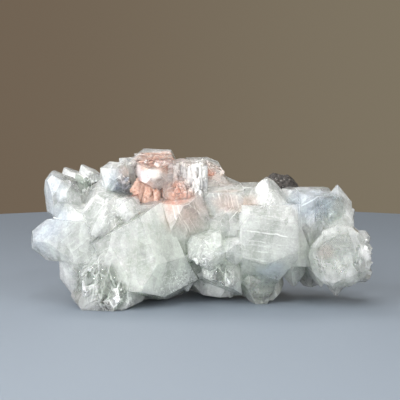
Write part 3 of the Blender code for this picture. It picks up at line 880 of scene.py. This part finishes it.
finish_with(bundle, small_finish)
bundle.data.shade_flat()
for name, low, high in (("facet", 0.3, 1.0), ("rim", 0.1, 1.1)):
    values = bundle.data.attributes.new(name, "FLOAT", "FACE")
    for poly in bundle.data.polygons:
        values.data[poly.index].value = dice.uniform(low, high) * (dice.random() > lost_share)
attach(bundle, "root")
print("fingers:", len(fingers))

# %% [markdown]
# ## Stilbite
# A sheaf of thin peach blades sits in the hollow under the rose crystal. Its solid has a few plain
# blades, which fine displacement alone would turn into lumps. So one small blade is modelled, a plate
# with a sharp end, and thousands of copies are fanned out over the plain ones, round a core that fills
# the gaps.

# %% Stilbite finish
stilbite_finish, tree, shader = new_material("stilbite")
here = place(tree)
grain = ramp(tree, cloud(tree, here, 0.8, 5.0, 0.7), 0.36, 0.62)
patch = ramp(tree, cloud(tree, here, 3.0, 3.0), 0.42, 0.60)
base = blend(tree, grain, (0.66, 0.36, 0.26), (0.87, 0.67, 0.58))
pale = blend(tree, maths(tree, "MULTIPLY", patch, 0.55), base, (0.84, 0.62, 0.53))
tree.links.new(pale, shader.inputs["Base Color"])
tree.links.new(ramp(tree, grain, 0, 1, 0.22, 0.5), shader.inputs["Roughness"])
bump = add_node(tree, "Bump", {"Height": grain}, Strength=0.5, Distance=0.25 * MM)
tree.links.new(bump.outputs["Normal"], shader.inputs["Normal"])
shader.inputs["Subsurface Weight"].default_value = 0.3
shader.inputs["Subsurface Radius"].default_value = (1.0, 0.75, 0.6)
shader.inputs["Subsurface Scale"].default_value = 0.4 * MM
print("stilbite finish:", len(tree.nodes), "nodes")

# %% One blade
bpy.ops.mesh.primitive_cube_add(size=1 * MM)
blade = bpy.context.active_object
edit_all(blade)
bpy.ops.transform.resize(value=(1.1, 0.32, 3.2))
for side in (-1, 1):
    bpy.ops.mesh.select_all(action="SELECT")
    bpy.ops.mesh.bisect(plane_co=(0, 0, 1.6 * MM), plane_no=(side * 0.75, 0, 0.66), use_fill=True,
                        clear_outer=True)
bpy.ops.mesh.select_all(action="SELECT")
bpy.ops.mesh.quads_convert_to_tris(quad_method="SHORTEST_DIAGONAL")
bpy.ops.object.mode_set(mode="OBJECT")
blade.data.transform(Matrix.Translation((0, 0, 0.5 * MM)))
print("blade:", len(blade.data.polygons), "faces")

# %% Sheaf
stilbite_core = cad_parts["stilbite_blades"]
core_corners = [v.co for v in stilbite_core.data.vertices]
hinge = Vector((-14.5, 2.0, 37.5)) * MM  # where the blades fan out from
apart = 0.5 * MM
set_in = 0.6 * MM
dice = random.Random(15)
blades = []
for poly in stilbite_core.data.polygons:
    for _ in range(2 + int(poly.area / apart ** 2)):
        picks = [dice.random() for _ in poly.vertices]
        at = sum((core_corners[i] * w for i, w in zip(poly.vertices, picks)), Vector()) / sum(picks)
        lean = ((at - hinge).normalized() + 0.30 * any_way(dice)).normalized()
        put = Matrix.Translation(at - lean * set_in) @ facing(lean)
        twist = Matrix.Rotation(dice.uniform(0, 3), 4, "Z")
        one = copy_of(blade, "blade")
        one.data.transform(put @ twist @ Matrix.Scale(dice.uniform(0.22, 0.36), 4))
        blades.append(one)
bpy.data.objects.remove(blade)


def stilbite_relief(point):
    """Coarse and fine grains of the core, in millimetres."""
    return 0.9 * abs(noise.noise(point / (0.9 * MM))) + 0.5 * abs(noise.noise(point / (0.4 * MM)))


core = copy_of(stilbite_core, "core")
shape_with(core, "REMESH", mode="VOXEL", voxel_size=0.25 * MM)
sink(core, stilbite_relief)
sheaf = join([*blades, core], "stilbite_sheaf")
finish_with(sheaf, stilbite_finish)
sheaf.data.shade_flat()
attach(sheaf, "root")
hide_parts("stilbite_blades")
print("stilbite blades:", len(blades))

# %% [markdown]
# ## Basalt
# The dark scrap is host rock: fine-grained, pitted where gas bubbles were, with tiny grains that glitter.
# Its solid is a plain lump with hard corners. It is remeshed finely, because a voxel remesh rounds
# corners and gives even faces, and then displaced inwards, so that it never grows past the solid.

# %% Basalt finish
basalt_finish, tree, shader = new_material("basalt")
here = place(tree)
grain = ramp(tree, cloud(tree, here, 0.9, 6.0, 0.75), 0.35, 0.65)
specks = add_node(tree, "TexVoronoi", {"Vector": here}, Scale=1 / (0.45 * MM))
speck_tone = add_node(tree, "SeparateColor", {"Color": specks.outputs["Color"]}).outputs["Red"]
glitter = ramp(tree, speck_tone, 0.93, 0.97)
base = blend(tree, grain, (0.008, 0.007, 0.006), (0.074, 0.063, 0.056))
tree.links.new(blend(tree, glitter, base, (0.14, 0.13, 0.12)), shader.inputs["Base Color"])
tree.links.new(ramp(tree, glitter, 0, 1, 0.75, 0.35), shader.inputs["Roughness"])
height = total(tree, 0.2, (grain, 0.5), (splinters(tree, here, 0.6), 0.5))
bump = add_node(tree, "Bump", {"Height": height}, Strength=0.6, Distance=0.3 * MM)
tree.links.new(bump.outputs["Normal"], shader.inputs["Normal"])
print("basalt finish:", len(tree.nodes), "nodes")

# %% Basalt lump
rock = copy_of(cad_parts["basalt_scrap"], "basalt_rock")
shape_with(rock, "REMESH", mode="VOXEL", voxel_size=0.3 * MM)
rock_corners = [v.co.copy() for v in rock.data.vertices]
rock_middle = sum(rock_corners, Vector()) / len(rock_corners)
round_within = 6.0  # millimetres from the middle, past which the upright corners are worn


def rock_relief(point):
    """Lumps, grains, worn upright corners and round pits, in millimetres."""
    worn = 0.75 * max((point - rock_middle).xy.length / MM - round_within, 0.0)
    lumps = 0.8 * max(noise.noise(point / (2.4 * MM)), 0)
    grains = 0.3 * max(noise.noise(point / (0.8 * MM)), 0)
    pit = max(noise.noise(point / (1.2 * MM) + Vector((9, 9, 9))) - 0.25, 0.0) * 2.0
    return lumps + grains + pit + worn


sink(rock, rock_relief)
rock.data.shade_flat()
finish_with(rock, basalt_finish)
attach(rock, "root")
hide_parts("basalt_scrap")
print("basalt:", len(rock.data.polygons), "faces")

# %% [markdown]
# ## Floor, backdrop and light
# Clear crystal shows mostly what is round it, so the stage matters as much as the finish. The table is a
# wide disc of matt grey-blue, lighter towards the front. The wall glows by itself instead of being lit,
# so that the lamps can be set for the crystals alone. Neither belongs to the object.

# %% Table top
table, tree, shader = new_material("table")
depth_in = add_node(tree, "SeparateXYZ", {"Vector": place(tree)}).outputs["Y"]
# Painted light: the grey-blue grows lighter towards the front, a painted fall of light across the table.
table_colour_and_painted_falloff = blend(tree, ramp(tree, depth_in, -0.15, 0.22), (0.225, 0.262, 0.308), (0.125, 0.148, 0.177))
tree.links.new(table_colour_and_painted_falloff, shader.inputs["Base Color"])
shader.inputs["Roughness"].default_value = 0.6
bpy.ops.mesh.primitive_cylinder_add(vertices=128, radius=0.23, depth=0.01, location=(0, 0, -0.005))
floor = bpy.context.active_object
floor.name = "floor"
finish_with(floor, table)
print("table, m:", [round(v, 2) for v in floor.dimensions])

# %% Wall
backdrop, tree, shader = new_material("backdrop")
across_wall = add_node(tree, "SeparateXYZ", {"Vector": place(tree)}).outputs["X"]
# Painted light: the wall glows instead of being lit, and a little brighter towards the right.
wall_glow = blend(tree, ramp(tree, across_wall, -0.16, 0.16), (0.165, 0.125, 0.087), (0.209, 0.177, 0.125))
tree.links.new(wall_glow, shader.inputs["Emission Color"])
shader.inputs["Base Color"].default_value = (0, 0, 0, 1)
shader.inputs["Specular IOR Level"].default_value = 0
shader.inputs["Emission Strength"].default_value = 1
bpy.ops.mesh.primitive_cube_add(size=1)
edit_all(bpy.context.active_object)
bpy.ops.transform.resize(value=(3, 0.02, 2))
bpy.ops.transform.translate(value=(0, 0.6, 0.5))
bpy.ops.object.mode_set(mode="OBJECT")
wall = bpy.context.active_object
wall.name = "wall"
finish_with(wall, backdrop)
print("wall, m:", [round(v, 2) for v in wall.dimensions])

# %% Room light
world = bpy.data.worlds.new("room")
bpy.context.scene.world = world
world.use_nodes = True
room = world.node_tree.nodes["Background"]
room.inputs["Color"].default_value = (0.07, 0.067, 0.063, 1)
room.inputs["Strength"].default_value = 1.0
print("room:", world.name)


# %% [markdown]
# One big lamp would light the cluster, but milky crystal then looks like chalk. So a large window on the
# left gives the shape, softer boxes fill the shade, a low strip lights the facets that lean down, and
# five small sparks put the sharp glints on clear facets.

# %% Lights
SPARKS = {"spark_left": (-0.45, -0.8, 0.45), "spark_high": (0.05, -0.6, 0.9),
          "spark_right": (0.5, -0.5, 0.6), "spark_low": (-0.1, -0.9, 0.3), "spark_side": (-0.9, -0.1, 0.5)}


def softbox(name, at, size, power, colour=(1, 1, 1)):
    """A soft area light that faces the cluster, its place and size in metres and its power in watts."""
    data = bpy.data.lights.new(name, "AREA")
    data.shape = "RECTANGLE"
    data.size, data.size_y = size
    data.energy = power
    data.color = colour
    lamp = bpy.data.objects.new(name, data)
    bpy.context.scene.collection.objects.link(lamp)
    lamp.location = at
    lamp.rotation_euler = (Vector((0, 0, 0.02)) - Vector(at)).to_track_quat("-Z", "Y").to_euler()


softbox("window", (-0.8, -0.60, 0.60), (0.8, 0.8), 10.8, (0.97, 0.99, 1.0))
softbox("top", (0.1, -0.05, 1.0), (0.7, 0.7), 3.7)
softbox("fill", (0.6, -1.0, 0.40), (1.2, 0.8), 6.4, (1.0, 0.99, 0.96))
softbox("low_left", (-0.8, -0.8, 0.15), (0.9, 0.3), 3.9)
softbox("low_front", (0.2, -0.9, 0.07), (1.4, 0.1), 1.5)
softbox("behind", (-0.3, 0.5, 0.7), (0.5, 0.5), 5)
for name, at in SPARKS.items():
    softbox(name, at, (0.05, 0.05), 1.4)
print("lamps:", len(bpy.data.lights), "with", round(sum(lamp.energy for lamp in bpy.data.lights), 1), "W")

# %% [markdown]
# ## The block
# The block was only a gauge for depths, so it goes.

# %% The block goes
bpy.data.objects.remove(block)
